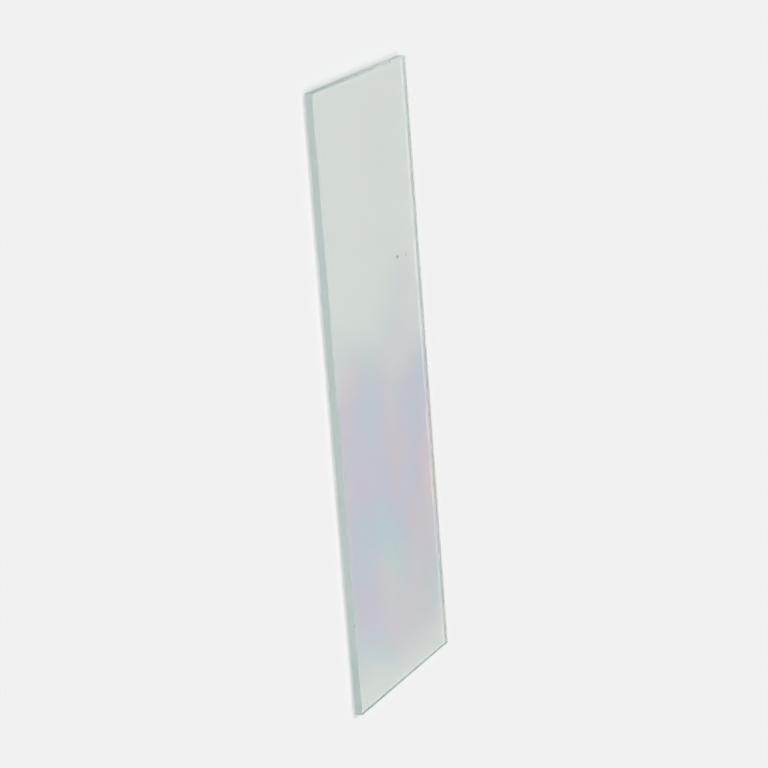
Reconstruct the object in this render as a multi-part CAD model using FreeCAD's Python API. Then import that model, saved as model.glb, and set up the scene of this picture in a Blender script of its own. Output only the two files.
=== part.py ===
"""A plain microscope slide: one flat rectangular plate of clear glass with ground edges.

Units are millimetres. The slide lies flat, with the origin at the middle of its underside, +X along its
length, +Y across its width and +Z up out of the face that carries the specimen.

The plate is cut from a sheet, and its four edges are then ground flat and square. The same grinding takes
a fine bevel off the rim of each flat face and a slightly larger one off the four upright corners, so that
nothing on the slide cuts a finger. All the rest of it is flat and parallel.
"""

import FreeCAD, Part
import os

# The plate.
LENGTH = 76.0
WIDTH = 26.0
THICKNESS = 1.0

# What grinding takes off, each measured along both of the faces that it joins.
RIM_BEVEL = 0.08
CORNER_BEVEL = 0.15


def blank():
    """The square-edged plate, standing on z = 0 and centred on the Z axis."""
    corner = FreeCAD.Vector(-LENGTH / 2, -WIDTH / 2, 0)
    return Part.makeBox(LENGTH, WIDTH, THICKNESS, corner)


def upright_edges(plate):
    """The four short edges that stand at the plate's corners."""
    return [edge for edge in plate.Edges if edge.BoundBox.ZLength > THICKNESS / 2]


def rims(plate):
    """The edges round the specimen face and round the underside."""
    faces = sorted(plate.Faces, key=lambda face: face.CenterOfMass.z)
    underside, specimen_face = faces[0], faces[-1]
    return underside.Edges + specimen_face.Edges


def glass_slide():
    """The finished slide as one solid."""
    plate = blank()
    plate = plate.makeChamfer(CORNER_BEVEL, upright_edges(plate))
    return plate.makeChamfer(RIM_BEVEL, rims(plate))


def check(slide):
    """Stops the build if the solid isn't one closed plate of the stated size."""
    box = slide.BoundBox
    size = FreeCAD.Vector(box.XLength, box.YLength, box.ZLength)
    stated = FreeCAD.Vector(LENGTH, WIDTH, THICKNESS)
    if not slide.isValid() or len(slide.Solids) != 1:
        raise ValueError("the slide isn't one valid solid")
    if not size.isEqual(stated, Part.Precision.confusion()):
        raise ValueError(f"the slide measures {size} and not {stated}")


def main():
    slide = glass_slide()
    check(slide)
    os.makedirs("parts", exist_ok=True)
    slide.Solids[0].exportStep("parts/glass_slide.step")
    print(f"glass_slide: {slide.Volume:.2f} mm3, {len(slide.Faces)} faces")


main()
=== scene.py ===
# %% [markdown]
# A microscope slide is one plate of clear glass, so there is very little shape to it. What makes it look
# real is what grinding leaves on its edges, the way clear glass bends and mirrors the light, and a green that
# is barely there on the faces and stronger where light runs the long way through. This lesson measures the
# plate, models it with its ground rims and its few chips, makes the glass, and then sets up the floor, the
# light and the camera.

# %% Load the frame
import math

import bpy
from mathutils import Matrix, Vector


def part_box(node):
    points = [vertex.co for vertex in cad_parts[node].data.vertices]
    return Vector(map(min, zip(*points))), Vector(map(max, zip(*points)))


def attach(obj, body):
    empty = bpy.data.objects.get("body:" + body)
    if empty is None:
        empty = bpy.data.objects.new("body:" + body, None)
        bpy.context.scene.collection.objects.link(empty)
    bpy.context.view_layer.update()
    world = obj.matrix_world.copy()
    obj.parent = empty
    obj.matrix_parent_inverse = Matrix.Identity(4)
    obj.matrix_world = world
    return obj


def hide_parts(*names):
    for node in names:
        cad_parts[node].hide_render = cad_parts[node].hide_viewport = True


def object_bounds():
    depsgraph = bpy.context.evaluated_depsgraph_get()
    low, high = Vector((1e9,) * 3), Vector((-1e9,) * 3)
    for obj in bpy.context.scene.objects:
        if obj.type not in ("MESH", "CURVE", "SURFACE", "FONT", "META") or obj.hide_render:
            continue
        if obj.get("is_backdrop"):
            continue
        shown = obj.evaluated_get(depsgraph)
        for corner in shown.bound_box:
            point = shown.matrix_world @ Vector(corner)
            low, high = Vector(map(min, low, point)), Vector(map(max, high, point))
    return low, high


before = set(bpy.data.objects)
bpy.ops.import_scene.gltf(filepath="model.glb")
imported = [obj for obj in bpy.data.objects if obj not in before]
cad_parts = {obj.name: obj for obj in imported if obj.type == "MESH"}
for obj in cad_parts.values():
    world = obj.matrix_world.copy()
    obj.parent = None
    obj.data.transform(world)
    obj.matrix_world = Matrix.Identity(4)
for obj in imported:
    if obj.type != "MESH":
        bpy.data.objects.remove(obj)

MM = 0.001

cad_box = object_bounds()
low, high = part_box("glass_slide")
middle, half = (low + high) / 2, (high - low) / 2
print("The plate measures", [round(2 * side / MM, 2) for side in half], "mm")

# %% [markdown]
# Operators work on whatever is selected, so each step first picks its faces, edges or points by where they
# are, as one would click them in the window. Picking happens in object mode, where the mesh can be read,
# and shaping happens in edit mode. Two small helpers switch between the two, and a third says when two
# places are the same for all practical purposes.

# %% Picking and shaping
CLOSE = 0.001 * MM


def same(a, b):
    return abs(a - b) < CLOSE


def pick(kind, elements, test):
    """Selects the faces, edges or points that pass the test, opens edit mode, and says how many."""
    bpy.ops.object.mode_set(mode="EDIT")
    bpy.ops.mesh.select_mode(type=kind)
    bpy.ops.mesh.select_all(action="DESELECT")
    bpy.ops.object.mode_set(mode="OBJECT")
    chosen = [element for element in elements if test(element)]
    for element in chosen:
        element.select = True
    bpy.ops.object.mode_set(mode="EDIT")
    return len(chosen)


def leave():
    bpy.ops.object.mode_set(mode="OBJECT")


print(f"Places less than {CLOSE / MM:.3f} mm apart count as the same")

# %% [markdown]
# The plate starts as a plain block of the size that the frame gives. On the real slide the four corners are
# ground off a little so that they don't cut, so the block's upright edges are picked and bevelled in one
# flat step. A rounded bevel would look moulded, and cold glass that meets a grinding belt has no soft
# corners.

# %% The blank
CORNER_BEVEL = 0.15 * MM

bpy.ops.object.select_all(action="DESELECT")
bpy.ops.mesh.primitive_cube_add(size=1, location=middle)
plate = bpy.context.object
plate.name = "slide_glass"
plate.scale = high - low
bpy.ops.object.transform_apply(location=True, rotation=True, scale=True)
mesh = plate.data


def ends(edge):
    return [mesh.vertices[i].co for i in edge.vertices]


def upright(edge):
    a, b = ends(edge)
    return same(a.x, b.x) and same(a.y, b.y)


corners = pick("EDGE", mesh.edges, upright)
bpy.ops.mesh.bevel(offset=CORNER_BEVEL, segments=1, affect="EDGES")
leave()
print(f"{corners} corners bevelled by {CORNER_BEVEL / MM:.2f} mm")

# %% [markdown]
# A face with four points can't carry any detail. Bisect slices a mesh with a plane and leaves both halves
# joined, so rows of such slices lay an even net over the plate, walls and all. Subdividing would also give a
# net, but with cells as long and narrow as the plate is. Two level slices then divide the height of the
# walls into three bands.

# %% The net
NET = 1.0 * MM
WALL_BANDS = 3
wall_rows = [low.z + (high.z - low.z) * i / WALL_BANDS for i in range(1, WALL_BANDS)]


def slice_plate(place, across):
    bpy.ops.mesh.select_all(action="SELECT")
    bpy.ops.mesh.bisect(plane_co=place, plane_no=across)


bpy.ops.object.mode_set(mode="EDIT")
for i in range(1, round(2 * half.x / NET)):
    slice_plate((low.x + i * NET, 0, 0), (1, 0, 0))
for i in range(1, round(2 * half.y / NET)):
    slice_plate((0, low.y + i * NET, 0), (0, 1, 0))
for row in wall_rows:
    slice_plate((0, 0, row), (0, 0, 1))
leave()
print(f"{len(mesh.polygons)} faces after slicing")

# %% [markdown]
# What grinding leaves is finer than that net, but it is only along the edge. So the level edges of the walls
# are subdivided once more, and the middle of each flat face keeps its wide net. The faces next to the walls
# are allowed to become many-sided, which leaves the mesh with over a thousand faces fewer.

# %% A finer net along the edge
FINE_CUTS = 3


def gaps(point):
    """How far a point lies inside the plate along each axis: 0 on the outermost faces."""
    return [half[i] - abs(point[i] - middle[i]) for i in range(3)]


def on_wall(point):
    """True on the plate's long edges, its ends and the four bevelled corners between them."""
    gap_x, gap_y, _ = gaps(point)
    return min(gap_x, gap_y) < CLOSE or gap_x + gap_y < CORNER_BEVEL + CLOSE


def level_on_wall(edge):
    a, b = ends(edge)
    along_one_wall = same(a.x, b.x) or same(a.y, b.y)
    return same(a.z, b.z) and along_one_wall and all(map(on_wall, (a, b, (a + b) / 2)))


divided = pick("EDGE", mesh.edges, level_on_wall)
bpy.ops.mesh.subdivide(number_cuts=FINE_CUTS, ngon=True)
leave()
print(f"{divided} edges divided, {len(mesh.polygons)} faces")

# %% [markdown]
# The rim of each flat face is ground to a fine slope, so that it can't cut a finger. It is one flat bevel
# along the edges where the upright walls meet a flat face, above and below. It is almost too small to see,
# but it catches a line of light all round the slide, and an edge with no such line looks like a drawing.

# %% The ground rims
RIM_BEVEL = 0.08 * MM
STEEP = 0.5

flats, walls = set(), set()
for face in mesh.polygons:
    (walls if abs(face.normal.z) < STEEP else flats).update(face.edge_keys)

ground = pick("EDGE", mesh.edges, lambda edge: edge.key in flats and edge.key in walls)
bpy.ops.mesh.bevel(offset=RIM_BEVEL, segments=1, affect="EDGES")
leave()
print(f"{ground} edges bevelled by {RIM_BEVEL / MM:.2f} mm")

# %% [markdown]
# A belt doesn't grind such a narrow slope to an even width. So the two lines that bound each slope are
# shaken a little at random, and then pressed flat again onto the face they belong to, because a scale of
# zero across a plane puts every point back on it. This is done for the two flat faces and the four walls in
# turn. The seeds are fixed, so that the slide comes out the same each time.

# %% The rims' uneven width
SHAKE = 0.006 * MM
SHAKE_SEED = 7
NEAR_CORNER = 1.5 * CORNER_BEVEL


def rim_line(axis, side):
    """A test for the points that bound the rims on the face that lies at one side along an axis."""

    def bounds_a_rim(point):
        gap = gaps(point.co)
        others = [gap[i] for i in range(3) if i != axis]
        clear = axis == 2 or gap[1 - axis] > NEAR_CORNER
        return same(point.co[axis], side) and clear and any(same(g, RIM_BEVEL) for g in others)

    return bounds_a_rim


shaken = []
for axis in range(3):
    pressing = [0 if i == axis else 1 for i in range(3)]
    for side in (low[axis], high[axis]):
        plane = [side if i == axis else 0 for i in range(3)]
        shaken.append(pick("VERT", mesh.vertices, rim_line(axis, side)))
        seed = SHAKE_SEED + len(shaken)
        bpy.ops.transform.vertex_random(offset=SHAKE, uniform=0.0, normal=0.0, seed=seed)
        bpy.ops.transform.resize(value=pressing, center_override=plane)
        leave()
print("Points shaken on the two ends, the long edges and the flat faces:", shaken)

# %% [markdown]
# The walls between the rims are flat, but not like the polished faces: a plate that is held against a belt
# rocks a little. A Displace modifier with a soft cloud texture gives the walls waves of a few thousandths of
# a millimetre, and a vertex group keeps them off the rims. A middle level of one means that the waves only
# ever go inwards, so the slide keeps its true width.

# %% Waves in the ground walls
WAVE_DEPTH = 0.006 * MM
WAVE_SPREAD = 5 * MM

wavy = plate.vertex_groups.new(name="ground_walls")
wave_points = [
    point.index
    for point in mesh.vertices
    if on_wall(point.co) and any(same(point.co.z, row) for row in wall_rows)
]
wavy.add(wave_points, 1.0, "REPLACE")

rocking = bpy.data.textures.new("rocking", "CLOUDS")
rocking.noise_scale = WAVE_SPREAD
rocking.noise_depth = 2

waves = plate.modifiers.new("waves", "DISPLACE")
waves.texture = rocking
waves.texture_coords = "LOCAL"
waves.vertex_group = wavy.name
waves.mid_level = 1.0
waves.strength = WAVE_DEPTH
bpy.ops.object.modifier_apply(modifier=waves.name)
print(f"{len(wave_points)} wall points moved inwards by up to {WAVE_DEPTH / MM:.3f} mm")

# %% [markdown]
# The glass is one material all over, but it is polished in one place and ground in another. Each face
# carries a number that says what made it, and the material reads that number later. A number on the faces
# is better than several materials here: light has to enter and leave the glass through the same one.

# %% Mark what made each face
POLISHED, GRIT, GROUND, CHIPPED = 0.0, 0.25, 0.5, 0.75
LEVEL = 0.95


def mark(piece, kind_of):
    """Writes on each face of the piece the number of what made it."""
    marks = piece.data.attributes.new("made_by", "FLOAT", "FACE")
    for face in piece.data.polygons:
        marks.data[face.index].value = kind_of(face)


mark(plate, lambda face: POLISHED if abs(face.normal.z) > LEVEL else GROUND)
print(f"{len(mesh.polygons)} faces marked")

# %% [markdown]
# Even a new slide may have a few chips in its rims. A chip in glass is shell-shaped, so the tool for one is
# a ball, stretched along the edge and shaken until it is no longer smooth. Its middle stays outside the
# glass by almost half its radius, so that it takes only a shallow bite out of both faces at the edge. The
# sharp edge is ground away already, so a ball that is too small would miss the glass, and the cell works out
# how large it has to be. Each ball is shaken with the next seed, so that no two are alike.

# %% A tool for chips
CHIP_DETAIL = 3
CHIP_RAGGED = 0.06
MIDDLE_OUT = 0.45
FIRST_TOOL_SEED = 10

tools = []


def add_tool(centre, size, kind, detail, ragged):
    """Adds one ragged ball that will be cut out of the plate."""
    bpy.ops.object.select_all(action="DESELECT")
    bpy.ops.mesh.primitive_ico_sphere_add(subdivisions=detail, radius=1, location=centre)
    tool = bpy.context.object
    tool.scale = size
    bpy.ops.object.transform_apply(location=True, rotation=True, scale=True)
    bpy.ops.object.mode_set(mode="EDIT")
    bpy.ops.mesh.select_all(action="SELECT")
    seed = FIRST_TOOL_SEED + len(tools)
    bpy.ops.transform.vertex_random(offset=ragged * min(size), uniform=0.0, normal=0.0, seed=seed)
    leave()
    mark(tool, lambda face: kind)
    tools.append(tool)


def add_edge_chip(axis, side, along, radius, stretch):
    """A chip in the upper rim of the wall on the low (-1) or high (+1) side of an axis."""
    centre = middle.copy()
    centre[axis] += side * (half[axis] + MIDDLE_OUT * radius)
    centre[1 - axis] += along
    centre.z = high.z + MIDDLE_OUT * radius
    size = Vector((radius, radius, radius))
    size[1 - axis] *= stretch
    add_tool(centre, size, CHIPPED, CHIP_DETAIL, CHIP_RAGGED)


reaches_from = RIM_BEVEL / (math.sqrt(2) - 2 * MIDDLE_OUT)
print(f"A ball cuts past the bevel if its radius is over {reaches_from / MM:.2f} mm")

# %% [markdown]
# The slide has three chips, all in the upper rim: two side by side at one end, and one on a long edge near
# the other end. Each is given by its wall and the side that the wall is on, by its place from the middle of
# the wall, and by its radius and its stretch.

# %% Chips in the rim
ENDS, LONG_EDGES = 0, 1
CHIPS = (
    (ENDS, -1, 8.5 * MM, 0.34 * MM, 1.3),
    (ENDS, -1, 6.6 * MM, 0.24 * MM, 1.0),
    (LONG_EDGES, -1, 26.5 * MM, 0.30 * MM, 1.6),
)

for axis, side, along, radius, stretch in CHIPS:
    add_edge_chip(axis, side, along, radius, stretch)
print(f"{len(CHIPS)} chips in the rim")

# %% [markdown]
# Near one long edge of the upper face sit two specks, a larger and a smaller one, where grit was pressed
# into the glass. Each is a shallow pit, cut with the same kind of ball, but a coarser and more ragged one,
# since grit is angular. Its faces get a number of their own, so that the material can make them grey. The
# places are given from the nearer end and from the nearer long edge.

# %% Two specks of grit
GRIT_DETAIL = 2
GRIT_RAGGED = 0.25
PIT_MIDDLE_OUT = 0.3
SPECKS = (
    (23.67 * MM, 6.55 * MM, (0.26 * MM, 0.38 * MM, 0.18 * MM)),
    (23.98 * MM, 4.07 * MM, (0.29 * MM, 0.18 * MM, 0.13 * MM)),
)

for from_end, from_edge, size in SPECKS:
    centre = (low.x + from_end, high.y - from_edge, high.z + PIT_MIDDLE_OUT * size[2])
    add_tool(centre, size, GRIT, GRIT_DETAIL, GRIT_RAGGED)
print(f"{len(SPECKS)} specks in the specimen face")

# %% [markdown]
# Now the tools are joined into one mesh, because one cut is quicker than five, and a Boolean modifier takes
# them out of the plate. The exact solver is used, because the fast one can leave gaps where faces meet as
# finely as here. It also carries the tools' numbers over to the faces that they cut. The tools have done
# their work then and are deleted.

# %% Cut the chips
bpy.ops.object.select_all(action="DESELECT")
for tool in tools:
    tool.select_set(True)
bpy.context.view_layer.objects.active = tools[0]
bpy.ops.object.join()
cutter = bpy.context.object
bpy.ops.object.transform_apply(location=True, rotation=True, scale=True)

bpy.ops.object.select_all(action="DESELECT")
plate.select_set(True)
bpy.context.view_layer.objects.active = plate
flaking = plate.modifiers.new("flaking", "BOOLEAN")
flaking.operation = "DIFFERENCE"
flaking.object = cutter
flaking.solver = "EXACT"
bpy.ops.object.modifier_apply(modifier=flaking.name)
bpy.data.objects.remove(cutter, do_unlink=True)

marks = [round(entry.value, 2) for entry in plate.data.attributes["made_by"].data]
for name, kind in (("polished", POLISHED), ("grit", GRIT), ("ground", GROUND), ("chipped", CHIPPED)):
    print(f"{marks.count(kind)} {name} faces")

# %% [markdown]
# The inside of a chip is a curved shell with a few ridges in it, while its rim and all the ground edges are
# crisp. Shading smooth by angle does both: faces that meet at less than the angle are blended, and the others
# aren't.

# %% Smooth the shells and keep the edges
CRISP = math.radians(12)

bpy.ops.object.shade_smooth_by_angle(angle=CRISP)
print(f"Edges sharper than {math.degrees(CRISP):.0f} degrees stay crisp")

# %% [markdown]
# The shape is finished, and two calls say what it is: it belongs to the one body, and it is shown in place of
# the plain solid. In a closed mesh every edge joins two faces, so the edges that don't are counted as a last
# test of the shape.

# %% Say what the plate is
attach(plate, "root")
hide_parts("glass_slide")
uses = {}
for face in plate.data.polygons:
    for key in face.edge_keys:
        uses[key] = uses.get(key, 0) + 1
print(f"{len(plate.data.polygons)} faces, {sum(n != 2 for n in uses.values())} open edges")

# %% [markdown]
# Clear glass needs a shader that lets light through and bends it, so transmission is full and the index of
# refraction is that of soda-lime glass. The iron in it takes a little red light on the way. Over a
# millimetre that can't be seen, but a look into the edge passes through centimetres, and there it turns
# aqua. So that colour belongs in the volume, where it grows with the distance. The volume takes its density
# times one minus its colour out of each metre, so the colour is worked out from what the glass takes. The
# surface has a colour of its own, which is nearly white, with the breath of green that a slide has when it
# lies among others.

# %% Clear glass with a little iron in it
REFRACTION = 1.52
CLEAR = (0.96, 0.985, 0.965, 1)
TAKEN_PER_METRE = (9.0, 5.2, 5.4)
DENSITY = 10.0

glass = bpy.data.materials.new("clear_soda_lime_glass")
glass.use_nodes = True
nodes, links = glass.node_tree.nodes, glass.node_tree.links
shader = nodes["Principled BSDF"]
shader.inputs["Transmission Weight"].default_value = 1.0
shader.inputs["IOR"].default_value = REFRACTION

iron = nodes.new("ShaderNodeVolumeAbsorption")
iron.inputs["Color"].default_value = [1 - taken / DENSITY for taken in TAKEN_PER_METRE] + [1]
iron.inputs["Density"].default_value = DENSITY
links.new(iron.outputs["Volume"], nodes["Material Output"].inputs["Volume"])
plate.data.materials.append(glass)
width = 2 * half.y
print("Kept across the plate's width:", [round(math.exp(-width * t), 2) for t in TAKEN_PER_METRE])

# %% [markdown]
# The number on each face now becomes a finish. A colour ramp with constant steps works as a table: one
# step for each way the glass was made. Polished faces have no roughness at all, ground ones are dull and
# glow evenly with the light inside the glass, and chips are nearly bright. The specks of grit are the only
# dark thing.

# %% A table from making to finish
HALF_WAY = (GRIT - POLISHED) / 2
SOOT = (0.25, 0.26, 0.24, 1)
made_by = nodes.new("ShaderNodeAttribute")
made_by.attribute_name = "made_by"


def grey(value):
    return (value, value, value, 1)


def table(title, polished, grit, ground, chipped):
    """A node that gives one grey value or colour for each way that the glass was made."""
    ramp = nodes.new("ShaderNodeValToRGB")
    ramp.label = title
    ramp.color_ramp.interpolation = "CONSTANT"
    steps = ramp.color_ramp.elements
    steps.remove(steps[1])
    steps[0].color = polished
    for kind, value in ((GRIT, grit), (GROUND, ground), (CHIPPED, chipped)):
        steps.new(kind - HALF_WAY).color = value
    links.new(made_by.outputs["Fac"], ramp.inputs["Fac"])
    return ramp.outputs["Color"]


tint = table("tint", polished=CLEAR, grit=SOOT, ground=CLEAR, chipped=CLEAR)
roughness = table("roughness", polished=grey(0), grit=grey(0.6), ground=grey(0.7), chipped=grey(0.12))
polished_only = table("where polished", polished=grey(1), grit=grey(0), ground=grey(0), chipped=grey(0))
lined = table("where lined", polished=grey(0), grit=grey(0.3), ground=grey(1), chipped=grey(0.1))
links.new(tint, shader.inputs["Base Color"])
print("The finish table has", len(roughness.node.color_ramp.elements), "steps")

# %% [markdown]
# The rest of the finish comes from noise, stretched to the range that is wanted and multiplied by the
# tables. So three helpers make those nodes. The noise sits on the object's own coordinates, in metres, so
# its scale is simply one over the size of a patch, and stretching it level turns patches into streaks.

# %% Noise, its range and sums
NOISE_LOW, NOISE_HIGH = 0.3, 0.7
place = nodes.new("ShaderNodeTexCoord").outputs["Object"]


def noise(title, patch, detail=2, stretch=(1, 1, 1)):
    """Soft noise with patches of about the given size in metres."""
    mapping = nodes.new("ShaderNodeMapping")
    mapping.inputs["Scale"].default_value = [1 / s for s in stretch]
    texture = nodes.new("ShaderNodeTexNoise")
    texture.label = title
    texture.inputs["Scale"].default_value = 1 / patch
    texture.inputs["Detail"].default_value = detail
    links.new(place, mapping.inputs["Vector"])
    links.new(mapping.outputs["Vector"], texture.inputs["Vector"])
    return texture.outputs["Fac"]


def reach(value, least, most, start=NOISE_LOW, end=NOISE_HIGH):
    """Stretches the part of a value between start and end so that it runs from least to most."""
    stretching = nodes.new("ShaderNodeMapRange")
    for name, number in (("From Min", start), ("From Max", end), ("To Min", least), ("To Max", most)):
        stretching.inputs[name].default_value = number
    links.new(value, stretching.inputs["Value"])
    return stretching.outputs["Result"]


def both(operation, a, b):
    """One arithmetic node on two values."""
    maths = nodes.new("ShaderNodeMath")
    maths.operation = operation
    links.new(a, maths.inputs[0])
    links.new(b, maths.inputs[1])
    return maths.outputs["Value"]


print(f"Of each noise, {NOISE_LOW} to {NOISE_HIGH} is stretched to what is wanted")

# %% [markdown]
# No finish is even. The belt left streaks along the walls, some rougher and some smoother, and on the faces
# there is a breath of haze, such as a wiped slide always keeps. It lies in patches, and about half of the
# face has none, so only the upper half of its noise is used.

# %% Uneven walls and a breath of haze
STREAK_HEIGHT = 0.3 * MM
WIPED_PATCH = 14 * MM
MOST_HAZE = 0.04

streaks = reach(noise("streaks in the walls", STREAK_HEIGHT, stretch=(8, 8, 1)), least=0.55, most=1.2)
wiped_noise = noise("wiped haze", WIPED_PATCH, stretch=(2, 1, 1))
wiped = reach(wiped_noise, least=0, most=MOST_HAZE, start=0.5, end=0.75)
haze = both("MULTIPLY", wiped, polished_only)
links.new(both("ADD", both("MULTIPLY", roughness, streaks), haze), shader.inputs["Roughness"])
print(f"The walls have streaks {STREAK_HEIGHT / MM:.1f} mm high")

# %% [markdown]
# Slides that lie stacked touch over a patch of their faces, and there the gap between them is about as thin
# as a wave of light is long. It breaks white light into pink, lilac and blue. The patch is laid out first.
# A value runs from minus one at one end of it to one at the other, and a little noise makes both ends
# wander. Squared, the value is zero in the middle of the patch and grows alike towards both ends.

# %% Where the colours lie
FILM_MIDDLE = 13 * MM
FILM_REACH = 24 * MM
EDGE_PATCH = 14 * MM
EDGE_WANDER = 6 * MM

lengthwise = nodes.new("ShaderNodeSeparateXYZ")
links.new(place, lengthwise.inputs["Vector"])
edge_noise = noise("edge of the film", EDGE_PATCH, detail=1)
wander = reach(edge_noise, least=-EDGE_WANDER, most=EDGE_WANDER)
wandering = both("ADD", lengthwise.outputs["X"], wander)
away = reach(wandering, least=-1, most=1, start=FILM_MIDDLE - FILM_REACH, end=FILM_MIDDLE + FILM_REACH)
away_squared = both("MULTIPLY", away, away)
print(f"The colours reach {FILM_REACH / MM:.0f} mm to either side of their middle")

# %% [markdown]
# The shader has a thin film built in and works out such colours for every angle, which no painted pattern
# could do. The film's refraction is set high, because one plate has to show what all the gaps in a stack do
# together, and soft noise varies its thickness, which is given in millionths of a millimetre. Towards the
# ends of the patch the film fades out, because its refraction comes to be that of the glass itself. It also
# gets thicker on the way, to make up for the lower refraction, so that the colours stay the same while they
# fade. By how much is worked out for the slant at which the camera will see the face.

# %% A film as thin as a wave of light
FILM_REFRACTION = 1.9
THINNEST, THICKEST = 345, 415
THICKENED = 1.37
FILM_FULL = 0.3
COLOUR_PATCH = 8 * MM


def along_the_film(in_the_middle, faded):
    """A value that changes softly from the middle of the film to where it has faded out."""
    value = reach(away_squared, in_the_middle, faded, start=FILM_FULL ** 2, end=1)
    value.node.interpolation_type = "SMOOTHSTEP"
    return value


colours = noise("film colours", COLOUR_PATCH, detail=1, stretch=(1.6, 1, 1))
thickness = both("MULTIPLY", reach(colours, THINNEST, THICKEST), along_the_film(1, THICKENED))
links.new(both("MULTIPLY", thickness, polished_only), shader.inputs["Thin Film Thickness"])
links.new(along_the_film(FILM_REFRACTION, REFRACTION), shader.inputs["Thin Film IOR"])
print(f"The film is {THINNEST} to {THICKEST} nm thick in its middle")

# %% [markdown]
# Seen close up, a ground wall has fine lines that run along it, the way the belt ran. They are far too fine
# for the mesh, so they are a bump of about a hundredth of a millimetre, from noise that is stretched level.
# One noise serves all four walls, because it is long both ways across the plate and short only upwards.

# %% Fine lines on the ground faces
LINE_DEPTH = 0.015 * MM
LINE_HEIGHT = 0.06 * MM

lines = nodes.new("ShaderNodeBump")
lines.inputs["Distance"].default_value = LINE_DEPTH
line_height = noise("belt lines", LINE_HEIGHT, detail=3, stretch=(12, 12, 1))
links.new(both("MULTIPLY", line_height, lined), lines.inputs["Height"])
links.new(lines.outputs["Normal"], shader.inputs["Normal"])
print(f"{len(nodes)} nodes make the glass")

# %% [markdown]
# The slide lies on a plain pale floor. It is a wide disc, so that its far edge lies close to the horizon
# from every side, and it lies a hair's breadth below the glass: two surfaces in one place would flicker. Its
# paint is matt and has no gloss at all, because with some gloss it would mirror the studio, and its far edge
# would show as a line against the background.

# %% The floor
FLOOR_GAP = 0.03 * MM
FLOOR_RADIUS = 4
FLOOR_SIDES = 128
PALE = 0.80

bpy.ops.object.select_all(action="DESELECT")
bpy.ops.mesh.primitive_circle_add(vertices=FLOOR_SIDES, radius=FLOOR_RADIUS, fill_type="NGON")
floor = bpy.context.object
floor.name = "floor"
floor.location.z = low.z - FLOOR_GAP
bpy.ops.object.transform_apply(location=True, rotation=True, scale=True)
floor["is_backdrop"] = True

paint = bpy.data.materials.new("matt_pale_paint")
paint.use_nodes = True
paint_shader = paint.node_tree.nodes["Principled BSDF"]
paint_shader.inputs["Base Color"].default_value = grey(PALE)
paint_shader.inputs["Roughness"].default_value = 1
paint_shader.inputs["Specular IOR Level"].default_value = 0
floor.data.materials.append(paint)
print(f"The floor is {2 * FLOOR_RADIUS} m wide")

# %% [markdown]
# Clear glass shows only what is around it, so the light is made for the glass first. High up the studio
# is bright, which lights the floor softly. At the horizon it has the floor's own brightness, so that floor
# and background run into each other. Between the two is a dim belt: the polished face mirrors it towards the
# camera, and that is what sets the slide apart from the floor.

# %% The studio around the slide
SKY_STRENGTH = 1.49
HORIZON, DIM, BRIGHT = 0.59, 0.06, 1.0
BELTS = ((8, HORIZON), (19, DIM), (33, DIM), (58, BRIGHT))

scene = bpy.context.scene
studio = bpy.data.worlds.new("studio")
scene.world = studio
studio.use_nodes = True
sky_nodes, sky_links = studio.node_tree.nodes, studio.node_tree.links
direction = sky_nodes.new("ShaderNodeTexCoord").outputs["Generated"]
upwards = sky_nodes.new("ShaderNodeSeparateXYZ")
belts = sky_nodes.new("ShaderNodeValToRGB")
steps = belts.color_ramp.elements
steps.remove(steps[1])
steps[0].color = grey(HORIZON)
for degrees, brightness in BELTS:
    steps.new(math.sin(math.radians(degrees))).color = grey(brightness)
sky_links.new(direction, upwards.inputs["Vector"])
sky_links.new(upwards.outputs["Z"], belts.inputs["Fac"])
sky_links.new(belts.outputs["Color"], sky_nodes["Background"].inputs["Color"])
sky_nodes["Background"].inputs["Strength"].default_value = SKY_STRENGTH
print(f"The light has {len(steps)} steps from the horizon up")

# %% [markdown]
# One large soft lamp from high on one side gives the slide a faint shadow, so that it lies on the floor
# rather than in the air. A sun with a wide disc lights near and far floor alike, and a lamp that stands
# close would leave the far floor dark.

# %% A soft lamp
LAMP_STRENGTH = 0.93
LAMP_WIDTH = math.radians(36)
LAMP_FROM = Vector((-0.5, 0.5, 1.2))

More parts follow.
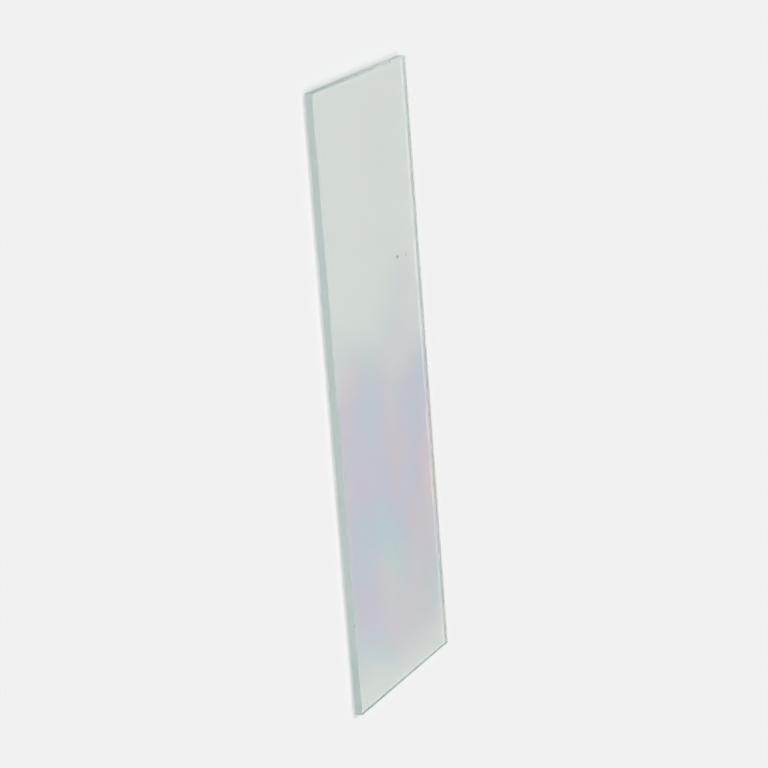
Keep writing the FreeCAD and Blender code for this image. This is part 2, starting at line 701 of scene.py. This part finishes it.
bpy.ops.object.light_add(type="SUN", location=LAMP_FROM)
lamp = bpy.context.object
lamp.name = "soft_lamp"
lamp.rotation_euler = (-LAMP_FROM).to_track_quat("-Z", "Y").to_euler()
lamp.data.energy = LAMP_STRENGTH
lamp.data.angle = LAMP_WIDTH
elevation = math.asin(LAMP_FROM.normalized().z)
print(f"The lamp stands {math.degrees(elevation):.0f} degrees above the floor")

# %% [markdown]
# The camera looks down on the slide from beside one long edge, with a long lens, so that the plate keeps
# its proportions. It is rolled on its side, which stands the slide upright in the picture.

# %% The camera
LENS = 141
DISTANCE = 364.6 * MM
LOOK_RIGHT = math.radians(16.5)
LOOK_DOWN = math.radians(24.8)
ROLL = math.radians(92.7)

turn = Matrix.Rotation(-LOOK_RIGHT, 3, "Z")
tilt = Matrix.Rotation(math.pi / 2 - LOOK_DOWN, 3, "X")
roll = Matrix.Rotation(ROLL, 3, "Z")
aim = Vector((middle.x, middle.y, high.z))
backwards = turn @ tilt @ Vector((0, 0, 1))

bpy.ops.object.camera_add(location=aim + backwards * DISTANCE, rotation=(turn @ tilt @ roll).to_euler())
camera = bpy.context.object
camera.name = "camera"
camera.data.lens = LENS
scene.camera = camera
print("The camera stands at", [round(c, 3) for c in camera.location], "m")

# %% [markdown]
# Light that enters a slide's edge bounces between the two faces dozens of times before it leaves at the far
# edge. Cycles gives up after a few bounces unless told otherwise, and the edges would turn dark. It also
# blurs glossy bounces to calm the noise, which darkens the floor seen through glass, so that is switched
# off. The standard view shows the pale floor as pale as it is.

# %% Bounces and view
MOST_BOUNCES = 40

scene.cycles.max_bounces = MOST_BOUNCES
scene.cycles.glossy_bounces = MOST_BOUNCES
scene.cycles.transmission_bounces = MOST_BOUNCES
scene.cycles.blur_glossy = 0
scene.view_settings.view_transform = "Standard"
print(f"Light may bounce {MOST_BOUNCES} times")

# %% [markdown]
# Last, the finished model's box is set against the box of the plate as it was built. The chips and waves
# only ever took glass away, so the two agree.

# %% Write both sizes and finish
visual_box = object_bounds()
for title, (least, most) in (("Built size:", cad_box), ("Finished size:", visual_box)):
    print(title, [round(side / MM, 3) for side in most - least], "mm")
